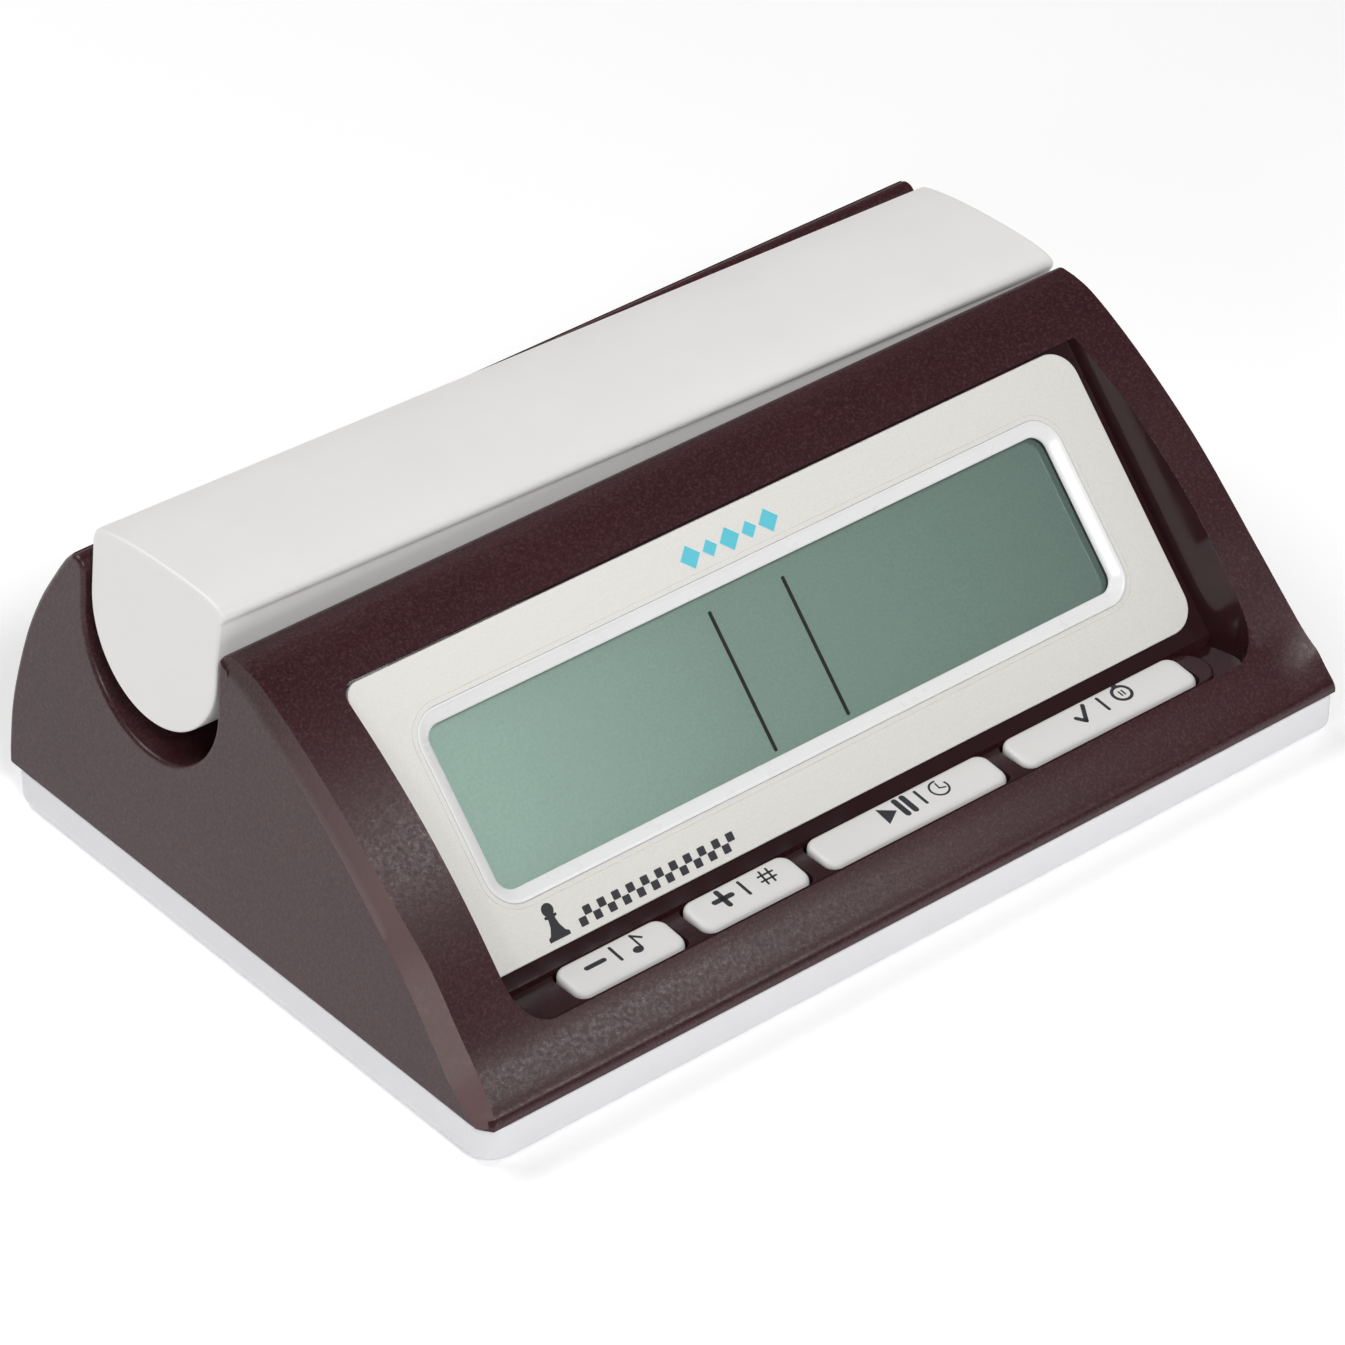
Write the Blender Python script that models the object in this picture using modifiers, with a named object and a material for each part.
"""Digital chess clock with a full-width rocker bar, modelled as separate pieces.

Frame: origin on the table under the middle of the clock, +X to the players' right
as seen from the display side, +Y to the back, +Z up.  All constants are millimetres.
The rocker rests with its right end down.
"""
import math

import bmesh
import bpy
from mathutils import Matrix, Vector

MM = 0.001
GAP = 0.3                     # clearance kept between pieces that touch

# ---- driving dimensions -------------------------------------------------------------
LENGTH = 155.0                # tray, left to right
DEPTH = 107.8                 # tray, front to back
FOOT_H = 0.8                  # how far the feet lift the tray
TRAY_TOP = FOOT_H + 5.5
SEAM_Z = TRAY_TOP + GAP       # lower edge of the upper case
FLOOR_Z = FOOT_H + 2.0        # inner face of the tray floor
WALL = 2.0
DRAFT = 0.054                 # the case ends lean in by this much per unit of height
CORNER_R = 4.5                # plan radius of the tray's corners

GROOVE_Y, GROOVE_Z, GROOVE_R = 20.4, 41.4, 15.2
ROCKER_Y, ROCKER_Z, ROCKER_R = 20.3, 43.2, 14.2
PIVOT_Z = 34.5                # height of the rocker's pin
REST_TILT = 1.9               # degrees, right end down; the travel is twice this
PLUNGER_X = 40.0              # each plunger's distance from the pin
ROCKER_X = 76.1               # half length of the rocker, low down
ROCKER_LEAN = 0.063           # how much the rocker's own ends lean in
KEEL_X, KEEL_Y0, KEEL_Y1, KEEL_TOP = 61.7, 13.3, 27.3, 33.2

SLOPE = math.radians(47.1)    # display panel, from horizontal
PANEL_Y, PANEL_Z = -22.6, 31.2
PANEL_W, PANEL_H, PANEL_R = 130.0, 43.8, 5.0
PANEL_T = 0.9
WINDOW_W, WINDOW_H = 110.8, 24.4
FRAME_BAND = 2.2

KEY_TOP_Z = 13.2
KEY_Y, KEY_D = -42.2, 6.7
KEY_WIDTHS = (18.8, 18.8, 32.8, 32.8)
KEY_GAP = 3.2
KEY_X = 2.0                   # the row of keys sits this far right of the middle
CHANNEL_Z = 11.0              # floor that the keys come through
CHANNEL_BACK, CHANNEL_FRONT = -38.3, -46.8
RECESS_LEFT, RECESS_RIGHT = -65.7, 66.8   # ends of the recess at the panel's face
RECESS_FLARE = 0.35           # the right end leans out by this much per unit of height

CELL_R, CELL_L = 7.15, 49.2   # AA cell without its nub
CELL_Y = (19.8, 34.8)
BAY_X = 30.2                  # inner half length of the battery bay
DOOR_X, RAIL_X = 28.5, 31.2   # half widths of the door's face and of its rails
BAY_Y0, BAY_Y1, BAY_TOP = 12.0, 42.6, 18.9

POWER_X, POWER_Y = -56.0, 15.0   # power switch on the underside
POWER_TRAVEL = 3.0

PCB_SCREWS = ((-60.5, 17.5), (60.5, 17.5), (-60.5, -17.5), (60.5, -17.5))
SCREW_SPOTS = ((-65.4, -17.0), (65.4, -17.0), (-56.0, 44.6), (56.0, 44.6))
FOOT_SPOTS = ((-68.0, -45.0), (68.0, -45.0), (-68.0, 45.0), (68.0, 45.0))

# outer section of the case, front seam to front lip, then back lip to back seam
FRONT_CURVE = ((-53.9, -2.0), (-53.9, 6.8), (-53.3, 8.0), (-51.2, 9.4), (-48.0, 11.9),
               (-44.0, 16.1), (-38.0, 23.0), (-32.0, 29.3), (-25.6, 35.1), (-19.0, 40.2),
               (-12.5, 44.6), (-6.0, 48.2), (-1.0, 50.2), (1.6, 50.6))
BACK_CURVE = ((38.4, 49.8), (40.2, 48.0), (43.0, 43.3), (46.3, 37.5), (49.4, 30.6),
              (51.9, 22.5), (53.3, 16.5), (53.9, 9.0), (53.9, -2.0))


# ---- small helpers ------------------------------------------------------------------
def clear_scene():
    for ob in list(bpy.data.objects):
        bpy.data.objects.remove(ob, do_unlink=True)


def collection(name):
    col = bpy.data.collections.new(name)
    bpy.context.scene.collection.children.link(col)
    return col


def material(name, rgb, rough=0.5, metal=0.0, alpha=1.0):
    mat = bpy.data.materials.new(name)
    mat.use_nodes = True
    bsdf = mat.node_tree.nodes["Principled BSDF"]
    bsdf.inputs["Base Color"].default_value = (*rgb, 1.0)
    bsdf.inputs["Roughness"].default_value = rough
    bsdf.inputs["Metallic"].default_value = metal
    bsdf.inputs["Alpha"].default_value = alpha
    return mat


def add(name, mesh, mat=None, matrix=None, cutter=False):
    """Link a mesh as an object: a part, or a hidden cutter."""
    ob = bpy.data.objects.new(name, mesh)
    (CUTTERS if cutter else PARTS).objects.link(ob)
    if cutter:
        ob.hide_render = True
        ob.display_type = "WIRE"
    if mat:
        mesh.materials.append(mat)
    if matrix:
        ob.matrix_world = matrix
    return ob


def mesh_from(name, bm):
    mesh = bpy.data.meshes.new(name)
    bmesh.ops.recalc_face_normals(bm, faces=bm.faces)
    bm.to_mesh(mesh)
    bm.free()
    return mesh


def smooth(ob, angle=35.0):
    ob.data.shade_smooth()
    ob.data.set_sharp_from_angle(angle=math.radians(angle))
    return ob


def box_mesh(name, lo, hi, round_edges=0.0, segments=2, axis=2):
    """Box between two corners, its edges along one axis rounded."""
    bm = bmesh.new()
    size = [(b - a) * MM for a, b in zip(lo, hi)]
    mid = Vector([(a + b) / 2 * MM for a, b in zip(lo, hi)])
    bmesh.ops.create_cube(bm, size=1.0)
    bmesh.ops.scale(bm, vec=size, verts=bm.verts)
    if round_edges:
        edges = [e for e in bm.edges
                 if abs((e.verts[0].co - e.verts[1].co)[axis]) > size[axis] * 0.5]
        bmesh.ops.bevel(bm, geom=edges, offset=round_edges * MM, segments=segments,
                        profile=0.5, affect="EDGES")
    bmesh.ops.translate(bm, vec=mid, verts=bm.verts)
    return mesh_from(name, bm)


def cyl_mesh(name, r0, r1, z0, z1, at=(0.0, 0.0), sides=24):
    """Upright cylinder or cone, with r0 = r1 for a cylinder."""
    bm = bmesh.new()
    bmesh.ops.create_cone(bm, cap_ends=True, segments=sides, radius1=r0 * MM,
                          radius2=r1 * MM, depth=(z1 - z0) * MM)
    bmesh.ops.translate(bm, vec=Vector((at[0], at[1], (z0 + z1) / 2)) * MM, verts=bm.verts)
    return mesh_from(name, bm)


def y_cyl_mesh(name, radius, y0, y1, x, z, sides=24):
    """Cylinder along Y."""
    bm = bmesh.new()
    bmesh.ops.create_cone(bm, cap_ends=True, segments=sides, radius1=radius * MM,
                          radius2=radius * MM, depth=(y1 - y0) * MM)
    bmesh.ops.rotate(bm, cent=(0, 0, 0), matrix=Matrix.Rotation(math.pi / 2, 3, "X"),
                     verts=bm.verts)
    bmesh.ops.translate(bm, vec=Vector((x, (y0 + y1) / 2, z)) * MM, verts=bm.verts)
    return mesh_from(name, bm)


def x_cyl_mesh(name, radius, x0, x1, y, z, sides=24):
    """Cylinder along X."""
    bm = bmesh.new()
    bmesh.ops.create_cone(bm, cap_ends=True, segments=sides, radius1=radius * MM,
                          radius2=radius * MM, depth=(x1 - x0) * MM)
    bmesh.ops.rotate(bm, cent=(0, 0, 0), matrix=Matrix.Rotation(math.pi / 2, 3, "Y"),
                     verts=bm.verts)
    bmesh.ops.translate(bm, vec=Vector(((x0 + x1) / 2, y, z)) * MM, verts=bm.verts)
    return mesh_from(name, bm)


def outline_mesh(name, loops, half):
    """Flat outline (outer loop, then holes) filled and extruded by half each way."""
    curve = bpy.data.curves.new(name, "CURVE")
    curve.dimensions = "2D"
    curve.fill_mode = "BOTH"
    curve.extrude = half * MM
    for loop in loops:
        spline = curve.splines.new("POLY")
        spline.points.add(len(loop) - 1)
        for point, (u, v) in zip(spline.points, loop):
            point.co = (u * MM, v * MM, 0.0, 1.0)
        spline.use_cyclic_u = True
    return curve_to_mesh(name, curve)


def curve_to_mesh(name, curve):
    """Evaluate a curve and weld its caps to its sides."""
    ob = bpy.data.objects.new(name + "_curve", curve)
    bpy.context.scene.collection.objects.link(ob)
    depsgraph = bpy.context.evaluated_depsgraph_get()
    mesh = bpy.data.meshes.new_from_object(ob.evaluated_get(depsgraph))
    bpy.data.objects.remove(ob, do_unlink=True)
    bm = bmesh.new()
    bm.from_mesh(mesh)
    bpy.data.meshes.remove(mesh)
    bmesh.ops.remove_doubles(bm, verts=bm.verts, dist=1e-6)
    return mesh_from(name, bm)


# local X, Y, Z of a side outline become world Y, Z, X
SIDEWAYS = Matrix(((0, 0, 1, 0), (1, 0, 0, 0), (0, 1, 0, 0), (0, 0, 0, 1)))


def side_prism(name, outline, half, lean=0.0, lean_z=0.0):
    """Outline in (y, z) extruded along X; the ends lean in above lean_z."""
    mesh = outline_mesh(name, [outline], half)
    mesh.transform(SIDEWAYS)
    for v in mesh.vertices:
        v.co.x = math.copysign(half * MM - lean * (v.co.z - lean_z * MM), v.co.x)
    return mesh


def arc(cy, cz, radius, a0, a1, steps):
    """Points of an arc, angles in degrees from +Y towards +Z."""
    pts = []
    for i in range(steps + 1):
        a = math.radians(a0 + (a1 - a0) * i / steps)
        pts.append((cy + radius * math.cos(a), cz + radius * math.sin(a)))
    return pts


def round_rect(w, h, r, steps=4, cx=0.0, cy=0.0):
    """Rounded rectangle loop."""
    pts = []
    for quadrant, (sx, sy) in enumerate(((1, 1), (-1, 1), (-1, -1), (1, -1))):
        ox, oy = cx + sx * (w / 2 - r), cy + sy * (h / 2 - r)
        pts += arc(ox, oy, r, quadrant * 90, quadrant * 90 + 90, steps)
    return pts


def cut(target, cutter, operation="DIFFERENCE"):
    mod = target.modifiers.new(cutter.name, "BOOLEAN")
    mod.operation = operation
    mod.solver = "EXACT"
    mod.object = cutter


def cut_mesh(target, mesh, operation="DIFFERENCE", matrix=None):
    cut(target, add(mesh.name, mesh, cutter=True, matrix=matrix), operation)


def panel_plate(name, loops, w0, w1, mat=None, cutter=False):
    """Plate in the display's own plane; w is the height above the panel's face."""
    mesh = outline_mesh(name, loops, (w1 - w0) / 2)
    mesh.transform(Matrix.Translation((0, 0, (w0 + w1) / 2 * MM)))
    mesh.transform(PANEL_FRAME)
    return add(name, mesh, mat, cutter=cutter)


PANEL_FRAME = (Matrix.Translation(Vector((0, PANEL_Y, PANEL_Z)) * MM)
               @ Matrix.Rotation(SLOPE, 4, "X"))


def panel_point(v, w):
    """(y, z) of a point v up the panel and w above its face."""
    return (PANEL_Y + v * math.cos(SLOPE) - w * math.sin(SLOPE),
            PANEL_Z + v * math.sin(SLOPE) + w * math.cos(SLOPE))


# ---- upper case ---------------------------------------------------------------------
def case_outline():
    return list(FRONT_CURVE) + list(BACK_CURVE)


def groove_outline(radius):
    """U section of the rocker's groove, open at the top."""
    y0, y1 = GROOVE_Y - radius, GROOVE_Y + radius
    return [(y0, 70.0)] + arc(GROOVE_Y, GROOVE_Z, radius, 180, 360, 18) + [(y1, 70.0)]


def cavity_outline():
    """Inside of the shell: front, under the groove, back, open below."""
    seat = -1.2 - WALL
    return ([(-51.7, -2.0), (-51.7, 6.9), (-50.6, 8.3), (-48.5, 9.0), (-36.4, 9.0),
             panel_point(-21.0, seat), panel_point(21.5, seat), (-1.0, 46.6), (2.4, 46.0)]
            + arc(GROOVE_Y, GROOVE_Z, GROOVE_R + WALL, 180, 360, 14)
            + [(38.4, 46.6), (41.2, 42.2), (44.4, 36.6), (47.4, 29.9), (49.8, 22.0),
               (51.1, 16.3), (51.7, 9.0), (51.7, -2.0)])


def recess_outline():
    """Side section of the display recess and the key channel in front of it."""
    top_y, top_z = panel_point(PANEL_H / 2 + 0.4, -1.2)
    far_y, far_z = panel_point(PANEL_H / 2 + 0.4, 20.0)
    low_y, low_z = panel_point(-PANEL_H / 2 - 0.2, -1.2)
    return [(top_y, top_z), (low_y, low_z), (CHANNEL_BACK, low_z - 0.4),
            (CHANNEL_BACK, CHANNEL_Z), (CHANNEL_FRONT, CHANNEL_Z), (CHANNEL_FRONT, 24.0),
            (far_y, far_z)]


def recess_mesh():
    """The recess's right end flares out from the panel's face; its left end is upright."""
    mesh = side_prism("cut_recess", recess_outline(), 65.5)
    normal = Vector((0, -math.sin(SLOPE), math.cos(SLOPE)))
    face = Vector((0, PANEL_Y, PANEL_Z)) * MM
    for v in mesh.vertices:
        height = (v.co - face).dot(normal)
        if v.co.x < 0:
            v.co.x = RECESS_LEFT * MM
        else:
            v.co.x = RECESS_RIGHT * MM + RECESS_FLARE * (height + 1.2 * MM)
    return mesh


def build_case(mat):
    case = add("upper_case", side_prism("upper_case", case_outline(), LENGTH / 2,
                                        DRAFT, SEAM_Z), mat)
    bevel = case.modifiers.new("edges", "BEVEL")
    bevel.width = 1.6 * MM
    bevel.segments = 2
    bevel.limit_method = "ANGLE"
    bevel.angle_limit = math.radians(50)
    cut_mesh(case, box_mesh("cut_seam", (-90, -70, -10), (90, 70, SEAM_Z)))
    cut_mesh(case, side_prism("cut_cavity", cavity_outline(), LENGTH / 2 - 2.3, DRAFT, SEAM_Z))
    for i, (x, y) in enumerate(SCREW_SPOTS):
        top = 36.0 if y < 0 else 30.0
        cut_mesh(case, cyl_mesh(f"add_boss_{i}", 3.2, 3.2, 14.5, top, (x, y), 16), "UNION")
    for side in (-1, 1):
        cut_mesh(case, cyl_mesh(f"add_guide_{side}", 4.0, 4.0, 19.5, 25.4,
                                (side * PLUNGER_X, GROOVE_Y), 16), "UNION")
    cut_mesh(case, side_prism("cut_groove", groove_outline(GROOVE_R), 90.0))
    cut_mesh(case, recess_mesh())
    for i, (x, y) in enumerate(SCREW_SPOTS):
        cut_mesh(case, cyl_mesh(f"cut_pilot_{i}", 1.4, 1.4, 10.0, 24.0, (x, y), 12))
    for side in (-1, 1):
        cut_mesh(case, cyl_mesh(f"cut_guide_{side}", 2.4, 2.4, 10.0, 30.0,
                                (side * PLUNGER_X, GROOVE_Y), 16))
        cut_mesh(case, cyl_mesh(f"cut_bracket_{side}", 1.3, 1.3, 20.0, 30.0,
                                (side * 3.2, GROOVE_Y), 12))
    window = panel_plate("cut_window", [round_rect(121.4, 35.0, 2.0, 2)], -6.0, 2.0,
                         cutter=True)
    cut(case, window)
    for i, (x, w) in enumerate(key_places()):
        hole = outline_mesh(f"cut_key_{i}", [round_rect(w + 0.8, KEY_D + 0.8, 1.6, 3, x, KEY_Y)],
                            6.0)
        hole.transform(Matrix.Translation((0, 0, CHANNEL_Z * MM)))
        cut_mesh(case, hole)
    return smooth(case)


# ---- lower tray ---------------------------------------------------------------------
def build_tray(mat):
    half_x, half_y = LENGTH / 2, DEPTH / 2
    tray = add("bottom_tray", box_mesh("bottom_tray", (-half_x, -half_y, FOOT_H),
                                       (half_x, half_y, TRAY_TOP), CORNER_R, 4), mat)
    bevel = tray.modifiers.new("lower_edge", "BEVEL")
    bevel.width = 0.7 * MM
    bevel.segments = 2
    bevel.limit_method = "ANGLE"
    bevel.angle_limit = math.radians(60)
    cut_mesh(tray, box_mesh("cut_tray_inside", (-half_x + 2.2, -half_y + 2.2, FLOOR_Z),
                            (half_x - 2.2, half_y - 2.2, 20.0), 2.4, 3))
    cut_mesh(tray, box_mesh("add_bay", (-BAY_X - 2.8, BAY_Y0 - 1.6, FLOOR_Z - 0.6),
                            (BAY_X + 2.8, BAY_Y1 + 1.6, BAY_TOP + 1.4)), "UNION")
    for i, (x, y) in enumerate(SCREW_SPOTS):
        cut_mesh(tray, cyl_mesh(f"add_tray_boss_{i}", 4.4, 4.4, FLOOR_Z - 0.6, 14.2, (x, y), 20),
                 "UNION")
    cut_mesh(tray, box_mesh("cut_bay", (-BAY_X, BAY_Y0, 2.9), (BAY_X, BAY_Y1, BAY_TOP)))
    cut_mesh(tray, box_mesh("cut_door_face", (-DOOR_X - GAP, BAY_Y0 - 0.2, -5.0),
                            (DOOR_X + GAP, 60.0, 1.65)))
    cut_mesh(tray, box_mesh("cut_door_rail", (-RAIL_X - GAP, BAY_Y0 - 0.2, 1.6),
                            (RAIL_X + GAP, 60.0, 3.15)))
    for i, (x, y) in enumerate(SCREW_SPOTS):
        cut_mesh(tray, cyl_mesh(f"cut_head_{i}", 3.0, 3.0, -5.0, 5.0, (x, y), 20))
        cut_mesh(tray, cyl_mesh(f"cut_shank_{i}", 1.5, 1.5, 4.0, 20.0, (x, y), 12))
    for i, (x, y) in enumerate(FOOT_SPOTS):
        cut_mesh(tray, cyl_mesh(f"cut_foot_{i}", 5.4, 5.4, -5.0, 1.9, (x, y), 24))
    cut_mesh(tray, box_mesh("cut_power_slot", (POWER_X - 3.5, POWER_Y - 1.8, -5.0),
                            (POWER_X + 3.5, POWER_Y + 1.8, 6.0)))
    for i in range(5):
        a = math.radians(72 * i)
        cut_mesh(tray, cyl_mesh(f"cut_sound_{i}", 0.9, 0.9, -5.0, 6.0,
                                (48 + 3.2 * math.cos(a), -4 + 3.2 * math.sin(a)), 10))
    return smooth(tray)


def build_feet(mat):
    for i, (x, y) in enumerate(FOOT_SPOTS):
        foot = add(f"foot_{i + 1}", cyl_mesh(f"foot_{i + 1}", 4.6, 5.0, 0.0, 1.6, (x, y), 28), mat)
        smooth(foot)


def turned(name, profile, at, steps=20):
    """Solid of revolution about an upright axis from an (r, z) profile, top to bottom."""
    mesh = bpy.data.meshes.new(name)
    verts = [(r * MM, 0.0, z * MM) for r, z in profile]
    mesh.from_pydata(verts, [(i, i + 1) for i in range(len(verts) - 1)], [])
    ob = add(name, mesh)
    ob.location = Vector((at[0], at[1], 0.0)) * MM
    screw = ob.modifiers.new("turn", "SCREW")
    screw.steps = screw.render_steps = steps
    screw.use_merge_vertices = True
    screw.merge_threshold = 1e-6
    return ob


def screw_piece(name, at, head_z, tip_z, mat, head_r=2.6, shank_r=1.1):
    """Pan-head screw standing head down, with a cross recess in its head."""
    ob = turned(name, [(0.0, tip_z), (shank_r * 0.5, tip_z - 0.2), (shank_r, tip_z - 1.2),
                       (shank_r, head_z), (head_r, head_z), (head_r, head_z - 1.0),
                       (head_r * 0.7, head_z - 1.6), (0.0, head_z - 1.6)], at, 16)
    ob.data.materials.append(mat)
    for axis in (0, 1):
        lo, hi = [at[0] - 0.35, at[1] - 0.35], [at[0] + 0.35, at[1] + 0.35]
        lo[axis] -= 1.05
        hi[axis] += 1.05
        cut_mesh(ob, box_mesh(f"cut_{name}_{axis}", (*lo, head_z - 3.0), (*hi, head_z - 0.7)))
    return ob


# ---- battery bay --------------------------------------------------------------------
def build_batteries(cell_mat, steel, door_mat):
    cell_z = FOOT_H + 2.8 + CELL_R
    for i, y in enumerate(CELL_Y):
        flip = -1 if i else 1
        cell = add(f"battery_cell_{i + 1}",
                   x_cyl_mesh(f"battery_cell_{i + 1}", CELL_R, -CELL_L / 2, CELL_L / 2, y, cell_z),
                   cell_mat)
        x0, x1 = sorted((flip * (CELL_L / 2 - 1.0), flip * (CELL_L / 2 + 1.2)))
        cut_mesh(cell, x_cyl_mesh(f"add_nub_{i}", 2.7, x0, x1, y, cell_z, 16), "UNION")
        smooth(cell)
        # coil spring at the flat end of the cell
        turns, points = 3.0, 30
        curve = bpy.data.curves.new(f"battery_spring_{i + 1}", "CURVE")
        curve.dimensions = "3D"
        curve.bevel_depth = 0.35 * MM
        curve.bevel_resolution = 1
        curve.use_fill_caps = True
        spline = curve.splines.new("POLY")
        spline.points.add(points)
        start = -flip * (CELL_L / 2 + 0.75)
        for k, point in enumerate(spline.points):
            t = k / points
            a, r = math.tau * turns * t, 2.2 + 1.8 * t
            point.co = ((start - flip * 3.4 * t) * MM, (y + r * math.cos(a)) * MM,
                        (cell_z + r * math.sin(a)) * MM, 1.0)
        spring = add(f"battery_spring_{i + 1}", curve_to_mesh(f"battery_spring_{i + 1}", curve),
                     steel)
        smooth(spring, 60)
    y0, y1 = CELL_Y
    z0, z1 = 4.5, BAY_TOP - 1.0
    plates = (("contact_link", 29.3, y0 - 5.5, y1 + 5.5), ("contact_plus", -29.7, y1 - 5.5, y1 + 5.5),
              ("contact_minus", -29.7, y0 - 5.5, y0 + 5.5))
    for name, x, a, b in plates:
        add(name, box_mesh(name, (x, a, z0), (x + 0.4, b, z1), 1.2, 2, axis=0), steel)
    door = add("battery_door", box_mesh("battery_door", (-DOOR_X, BAY_Y0 + 0.2, FOOT_H),
                                        (DOOR_X, DEPTH / 2, 2.4)), door_mat)
    cut_mesh(door, box_mesh("add_door_rails", (-RAIL_X, BAY_Y0 + 0.2, 1.9),
                            (RAIL_X, DEPTH / 2, 2.8)), "UNION")
    for i in range(4):
        y = 45.0 + 1.6 * i
        cut_mesh(door, box_mesh(f"cut_grip_{i}", (-8.0, y, -2.0), (8.0, y + 0.8, FOOT_H + 0.4)))
    return door


# ---- display ------------------------------------------------------------------------
def build_display(mats):
    opening = round_rect(WINDOW_W + 2 * FRAME_BAND + 0.6, WINDOW_H + 2 * FRAME_BAND + 0.6, 4.3)
    panel_plate("face_panel", [round_rect(PANEL_W, PANEL_H, PANEL_R), opening],
                -PANEL_T, 0.0, mats["panel"])
    frame = panel_plate("window_frame",
                        [round_rect(WINDOW_W + 2 * FRAME_BAND, WINDOW_H + 2 * FRAME_BAND, 4.0)],
                        -1.3, 0.1, mats["white"])
    # the hole widens towards the face, which leaves a sloping band
    hole = outline_mesh("cut_frame", [round_rect(WINDOW_W, WINDOW_H, 3.0)], 3.0)
    for v in hole.vertices:
        if v.co.z > 0:
            v.co.x += math.copysign(2.6 * MM, v.co.x)
            v.co.y += math.copysign(2.6 * MM, v.co.y)
    cut_mesh(frame, hole, matrix=PANEL_FRAME @ Matrix.Translation((0, 0, -0.9 * MM)))
    panel_plate("window_lens", [round_rect(116.0, 30.0, 3.0)], -2.4, -1.6, mats["clear"])
    panel_plate("lcd_front_glass", [round_rect(118.0, 31.0, 0.6, 1)], -3.8, -2.7, mats["lcd"])
    panel_plate("lcd_rear_glass", [round_rect(118.0, 34.0, 0.6, 1)], -5.2, -4.1, mats["lcd"])
    panel_plate("lcd_holder", [round_rect(123.0, 40.0, 2.0, 2), round_rect(119.0, 35.0, 1.0, 2)],
                -7.6, -3.6, mats["grey"])
    panel_plate("zebra_strip", [round_rect(100.0, 2.2, 0.4, 1, 0.0, -15.6)], -7.5, -5.5,
                mats["rubber"])
    board = panel_plate("main_pcb", [round_rect(122.0, 40.0, 1.0, 2)], -9.5, -7.9, mats["pcb"])
    for i, (x, v) in enumerate(PCB_SCREWS):
        hole = cyl_mesh(f"cut_pcb_{i}", 1.5, 1.5, -12.0, -4.0, (x, v), 12)
        cut_mesh(board, hole, matrix=PANEL_FRAME)
        target = bpy.data.objects["lcd_holder"]
        pilot = cyl_mesh(f"cut_holder_{i}", 1.2, 1.2, -12.0, -4.2, (x, v), 12)
        cut_mesh(target, pilot, matrix=PANEL_FRAME)
        fast = screw_piece(f"pcb_screw_{i + 1}", (x, v), -9.8, -4.8, mats["steel"], 1.9, 0.85)
        fast.matrix_world = PANEL_FRAME @ Matrix.Translation(Vector((x, v, 0)) * MM)
        for mod in fast.modifiers:
            if mod.type == "BOOLEAN":
                mod.object.matrix_world = PANEL_FRAME
    chip = add("controller_chip", cyl_mesh("controller_chip", 5.0, 6.5, -12.0, -9.8, (8, 2), 20),
               mats["black"])
    chip.data.transform(PANEL_FRAME)
    smooth(chip)
    crystal = add("quartz_crystal", box_mesh("quartz_crystal", (-20, -2, -12.6), (-9.5, 2, -9.8),
                                             1.2, 2, axis=0), mats["steel"])
    crystal.data.transform(PANEL_FRAME)
    cap = add("supply_capacitor", cyl_mesh("supply_capacitor", 3.0, 3.0, -17.0, -9.8, (32, -4), 20),
              mats["black"])
    cap.data.transform(PANEL_FRAME)
    smooth(cap)


# ---- keys ---------------------------------------------------------------------------
def key_places():
    """Centre and width of each key, left to right."""
    x = KEY_X - (sum(KEY_WIDTHS) + KEY_GAP * (len(KEY_WIDTHS) - 1)) / 2
    places = []
    for w in KEY_WIDTHS:
        places.append((x + w / 2, w))
        x += w + KEY_GAP
    return places


def build_keys(mats):
    for i, (x, w) in enumerate(key_places()):
        name = f"key_{i + 1}"
        y0, y1 = KEY_Y - KEY_D / 2, KEY_Y + KEY_D / 2
        cap = add(name, box_mesh(name, (x - w / 2, y0, 8.0), (x + w / 2, y1, KEY_TOP_Z), 1.3, 3),
                  mats["key"])
        for v in cap.data.vertices:
            if v.co.z > 10 * MM:
                v.co.z += (v.co.y - KEY_Y * MM) * 0.10
        bevel = cap.modifiers.new("edges", "BEVEL")
        bevel.width = 0.5 * MM
        bevel.segments = 2
        bevel.limit_method = "ANGLE"
        bevel.angle_limit = math.radians(60)
        cut_mesh(cap, box_mesh(f"add_flange_{i}", (x - w / 2 - 1.1, y0 - 1.0, 7.5),
                               (x + w / 2 + 1.1, y1 + 1.0, 8.5)), "UNION")
        smooth(cap)
    mat_pad = add("keypad_mat", box_mesh("keypad_mat", (-60, -46.6, 4.9), (60, -37.8, 5.7)),
                  mats["rubber"])
    for i, (x, w) in enumerate(key_places()):
        cut_mesh(mat_pad, cyl_mesh(f"add_dome_{i}", 3.0, 2.0, 5.4, 6.3, (x, KEY_Y), 16), "UNION")
    add("key_pcb", box_mesh("key_pcb", (-62, -48.0, 3.1), (62, -36.0, 4.6)), mats["pcb"])


# ---- rocker -------------------------------------------------------------------------
def rocker_outline(inset=0.0):
    """D section: round keel, upright front, crowned top leaning over the front lip."""
    r = ROCKER_R - inset
    under = arc(ROCKER_Y, ROCKER_Z, r, 180, 360, 20)
    back = [(ROCKER_Y + r, 51.6 - inset), (33.4 - inset, 52.9 - inset)]
    top = [(29.0, 53.7 - inset), (23.0, 54.3 - inset), (16.5, 54.6 - inset),
           (11.0, 54.6 - inset), (8.0 + inset / 2, 54.3 - inset)]
    front = [(6.0 + inset, 53.8 - inset), (5.3 + inset, 53.1 - inset), (6.1 + inset, 51.9 - inset)]
    return under + back + top + front


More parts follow.
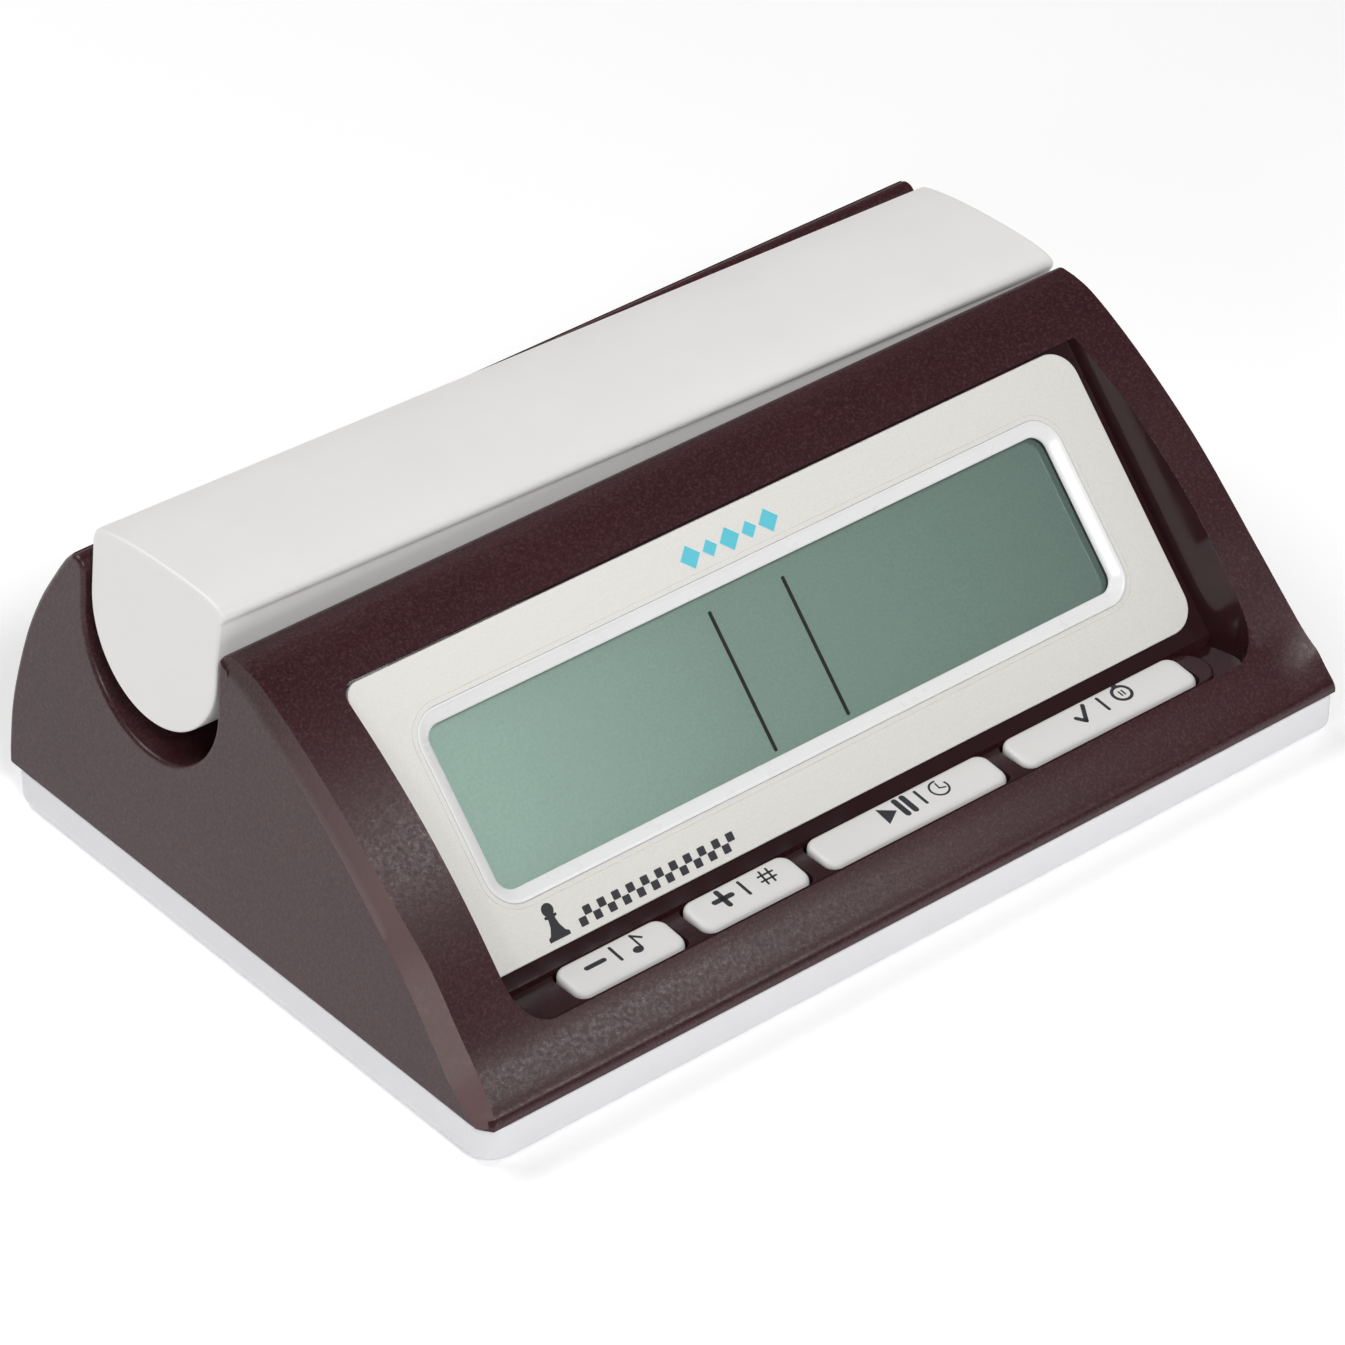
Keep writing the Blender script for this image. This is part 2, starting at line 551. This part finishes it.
def keel_outline():
    """Cover in the rocker's underside: round below, flat on top."""
    half_angle = math.degrees(math.asin((KEEL_Y1 - ROCKER_Y) / ROCKER_R))
    return (arc(ROCKER_Y, ROCKER_Z, ROCKER_R, 270 - half_angle, 270 + half_angle, 10)
            + [(KEEL_Y1, KEEL_TOP), (KEEL_Y0, KEEL_TOP)])


def build_rocker(mats, axis):
    rocker = add("rocker", side_prism("rocker", rocker_outline(), ROCKER_X, ROCKER_LEAN, 29.0),
                 mats["white"])
    bevel = rocker.modifiers.new("edges", "BEVEL")
    bevel.width = 0.6 * MM
    bevel.segments = 2
    bevel.limit_method = "ANGLE"
    bevel.angle_limit = math.radians(50)
    cut_mesh(rocker, side_prism("cut_rocker_inside", rocker_outline(2.0), 72.6,
                                ROCKER_LEAN, 29.0))
    cut_mesh(rocker, box_mesh("cut_keel_opening", (-KEEL_X - GAP, KEEL_Y0 - GAP, 20.0),
                              (KEEL_X + GAP, KEEL_Y1 + GAP, 34.5)))
    for side in (-1, 1):
        cut_mesh(rocker, cyl_mesh(f"add_rocker_boss_{side}", 2.6, 2.6, 34.0, 53.0,
                                  (side * 50, ROCKER_Y), 14), "UNION")
        cut_mesh(rocker, cyl_mesh(f"cut_rocker_boss_{side}", 1.1, 1.1, 30.0, 44.0,
                                  (side * 50, ROCKER_Y), 10))
    smooth(rocker)
    keel = add("rocker_keel", side_prism("rocker_keel", keel_outline(), KEEL_X), mats["white"])
    for name, y0, y1 in (("a", KEEL_Y0, KEEL_Y0 + 2.2), ("b", KEEL_Y1 - 2.2, KEEL_Y1)):
        cut_mesh(keel, box_mesh(f"add_lug_{name}", (-5, y0, 31.8), (5, y1, 38.2), 2.0, 3, axis=1),
                 "UNION")
        cut_mesh(keel, y_cyl_mesh(f"cut_lug_{name}", 1.8, y0 - 2, y1 + 2, 0.0, PIVOT_Z, 16))
    cut_mesh(keel, box_mesh("cut_keel_slot", (-9, KEEL_Y0 + 2.5, 20), (9, KEEL_Y1 - 2.5, 45)))
    for side in (-1, 1):
        spot = (side * 50, ROCKER_Y)
        cut_mesh(keel, cyl_mesh(f"cut_keel_hole_{side}", 1.4, 1.4, 20.0, 40.0, spot, 12))
        cut_mesh(keel, cyl_mesh(f"cut_keel_sink_{side}", 2.5, 2.5, 20.0, 31.4, spot, 16))
    pin = add("pivot_pin", y_cyl_mesh("pivot_pin", 1.5, KEEL_Y0 + 0.3, KEEL_Y1 - 0.3, 0.0,
                                      PIVOT_Z, 20), mats["steel"])
    smooth(pin)
    screws = [screw_piece(f"keel_screw_{i + 1}", (side * 50, ROCKER_Y), 31.1, 42.0,
                          mats["steel"], 2.1, 0.8) for i, side in enumerate((-1, 1))]
    for ob in [rocker, keel, pin] + screws:
        moved = [ob] + [m.object for m in ob.modifiers if m.type == "BOOLEAN"]
        for piece in moved:
            piece.parent = axis
            piece.matrix_parent_inverse = Matrix.Translation((0, -ROCKER_Y * MM, -PIVOT_Z * MM))
    bracket = add("pivot_bracket", box_mesh("pivot_bracket", (-5, 16.5, 27.1), (5, 24.1, 37.8),
                                            2.0, 3, axis=1), mats["grey"])
    cut_mesh(bracket, y_cyl_mesh("cut_bracket_bore", 1.85, 10, 30, 0.0, PIVOT_Z, 20))
    for i, side in enumerate((-1, 1)):
        spot = (side * 3.2, GROOVE_Y)
        cut_mesh(bracket, cyl_mesh(f"cut_bracket_pilot_{i}", 1.1, 1.1, 20.0, 31.4, spot, 10))
        screw_piece(f"bracket_screw_{i + 1}", spot, 23.9, 31.0, mats["steel"], 1.9, 0.8)
    return rocker


def build_plungers(mats):
    drop = math.sin(math.radians(REST_TILT)) * PLUNGER_X
    keel_bottom = ROCKER_Z - ROCKER_R
    for name, side, lift in (("left", -1, drop), ("right", 1, -drop)):
        at = (side * PLUNGER_X, GROOVE_Y)
        top = keel_bottom + lift - 0.35
        foot = top - 15.6
        rod = turned(f"plunger_{name}", [(0.0, top), (1.2, top - 0.2), (2.0, top - 1.0),
                                         (2.0, foot + 2.2), (3.4, foot + 2.2), (3.4, foot + 1.0),
                                         (1.6, foot + 1.0), (1.6, foot), (0.0, foot)], at)
        rod.data.materials.append(mats["grey"])
        smooth(rod)
        coil(f"plunger_spring_{name}", at, 2.6, 8.3, foot + 0.55, mats["steel"])
        switch = add(f"switch_{name}", box_mesh(f"switch_{name}", (at[0] - 4, at[1] - 4, 5.0),
                                                (at[0] + 4, at[1] + 4, 7.6), 0.6, 1),
                     mats["black"])
        cut_mesh(switch, cyl_mesh(f"add_button_{name}", 1.5, 1.5, 7.0, 8.4, at, 12), "UNION")
        add(f"switch_board_{name}", box_mesh(f"switch_board_{name}", (at[0] - 6.5, at[1] - 9, 3.1),
                                             (at[0] + 6.5, at[1] + 9, 4.7)), mats["pcb"])


def coil(name, at, radius, z0, z1, mat, turns=4.0, wire=0.25, per_turn=12):
    """Upright compression spring whose wire stays between z0 and z1."""
    curve = bpy.data.curves.new(name, "CURVE")
    curve.dimensions = "3D"
    curve.bevel_depth = wire * MM
    curve.bevel_resolution = 1
    curve.use_fill_caps = True
    spline = curve.splines.new("POLY")
    count = int(turns * per_turn)
    spline.points.add(count)
    for k, point in enumerate(spline.points):
        t = k / count
        a = math.tau * turns * t
        z = z0 + wire + (z1 - z0 - 2 * wire) * t
        point.co = ((at[0] + radius * math.cos(a)) * MM, (at[1] + radius * math.sin(a)) * MM,
                    z * MM, 1.0)
    return smooth(add(name, curve_to_mesh(name, curve), mat), 60)


# ---- small fittings in the tray -----------------------------------------------------
def build_fittings(mats):
    for i, spot in enumerate(SCREW_SPOTS):
        screw_piece(f"case_screw_{i + 1}", spot, 4.7, 22.0, mats["steel"])
    buzzer = add("piezo_buzzer", cyl_mesh("piezo_buzzer", 9.0, 9.0, 3.1, 6.4, (48, -4), 32),
                 mats["black"])
    smooth(buzzer)
    x, y = POWER_X, POWER_Y
    body = add("power_switch", box_mesh("power_switch", (x - 6, y - 3.5, 3.9),
                                        (x + 6, y + 3.5, 8.4)), mats["steel"])
    cut_mesh(body, box_mesh("cut_power_switch", (x - 3.5, y - 1.8, 2.0),
                            (x + 3.5, y + 1.8, 5.6)))
    knob_x = x - POWER_TRAVEL / 2
    knob = add("power_switch_knob", box_mesh("power_switch_knob", (knob_x - 1.5, y - 1.5, 1.1),
                                             (knob_x + 1.5, y + 1.5, 5.2)), mats["black"])
    return knob


def main():
    axis = bpy.data.objects.new("rocker_axis", None)
    PARTS.objects.link(axis)
    axis.location = Vector((0, ROCKER_Y, PIVOT_Z)) * MM
    axis.rotation_euler = (0, math.radians(REST_TILT), 0)
    mats = {
        "maroon": material("maroon_plastic", (0.062, 0.030, 0.033), 0.38),
        "white": material("white_plastic", (0.80, 0.79, 0.78), 0.40),
        "tray": material("tray_plastic", (0.78, 0.78, 0.79), 0.42),
        "panel": material("silver_panel", (0.72, 0.70, 0.67), 0.45, 0.1),
        "clear": material("clear_lens", (0.90, 0.93, 0.92), 0.05, 0.0, 0.25),
        "lcd": material("lcd_glass", (0.20, 0.27, 0.25), 0.15),
        "key": material("key_plastic", (0.70, 0.69, 0.67), 0.45),
        "grey": material("grey_plastic", (0.30, 0.30, 0.31), 0.5),
        "black": material("black_plastic", (0.03, 0.03, 0.03), 0.45),
        "rubber": material("rubber", (0.05, 0.05, 0.05), 0.8),
        "pcb": material("circuit_board", (0.02, 0.13, 0.05), 0.4),
        "steel": material("plated_steel", (0.62, 0.62, 0.60), 0.3, 1.0),
        "cell": material("cell_sleeve", (0.05, 0.10, 0.30), 0.3),
    }
    build_tray(mats["tray"])
    build_case(mats["maroon"])
    build_feet(mats["rubber"])
    build_batteries(mats["cell"], mats["steel"], mats["tray"])
    build_display(mats)
    build_keys(mats)
    build_rocker(mats, axis)
    build_plungers(mats)
    build_fittings(mats)


clear_scene()
PARTS = collection("chess_clock")
CUTTERS = collection("cutters")
main()
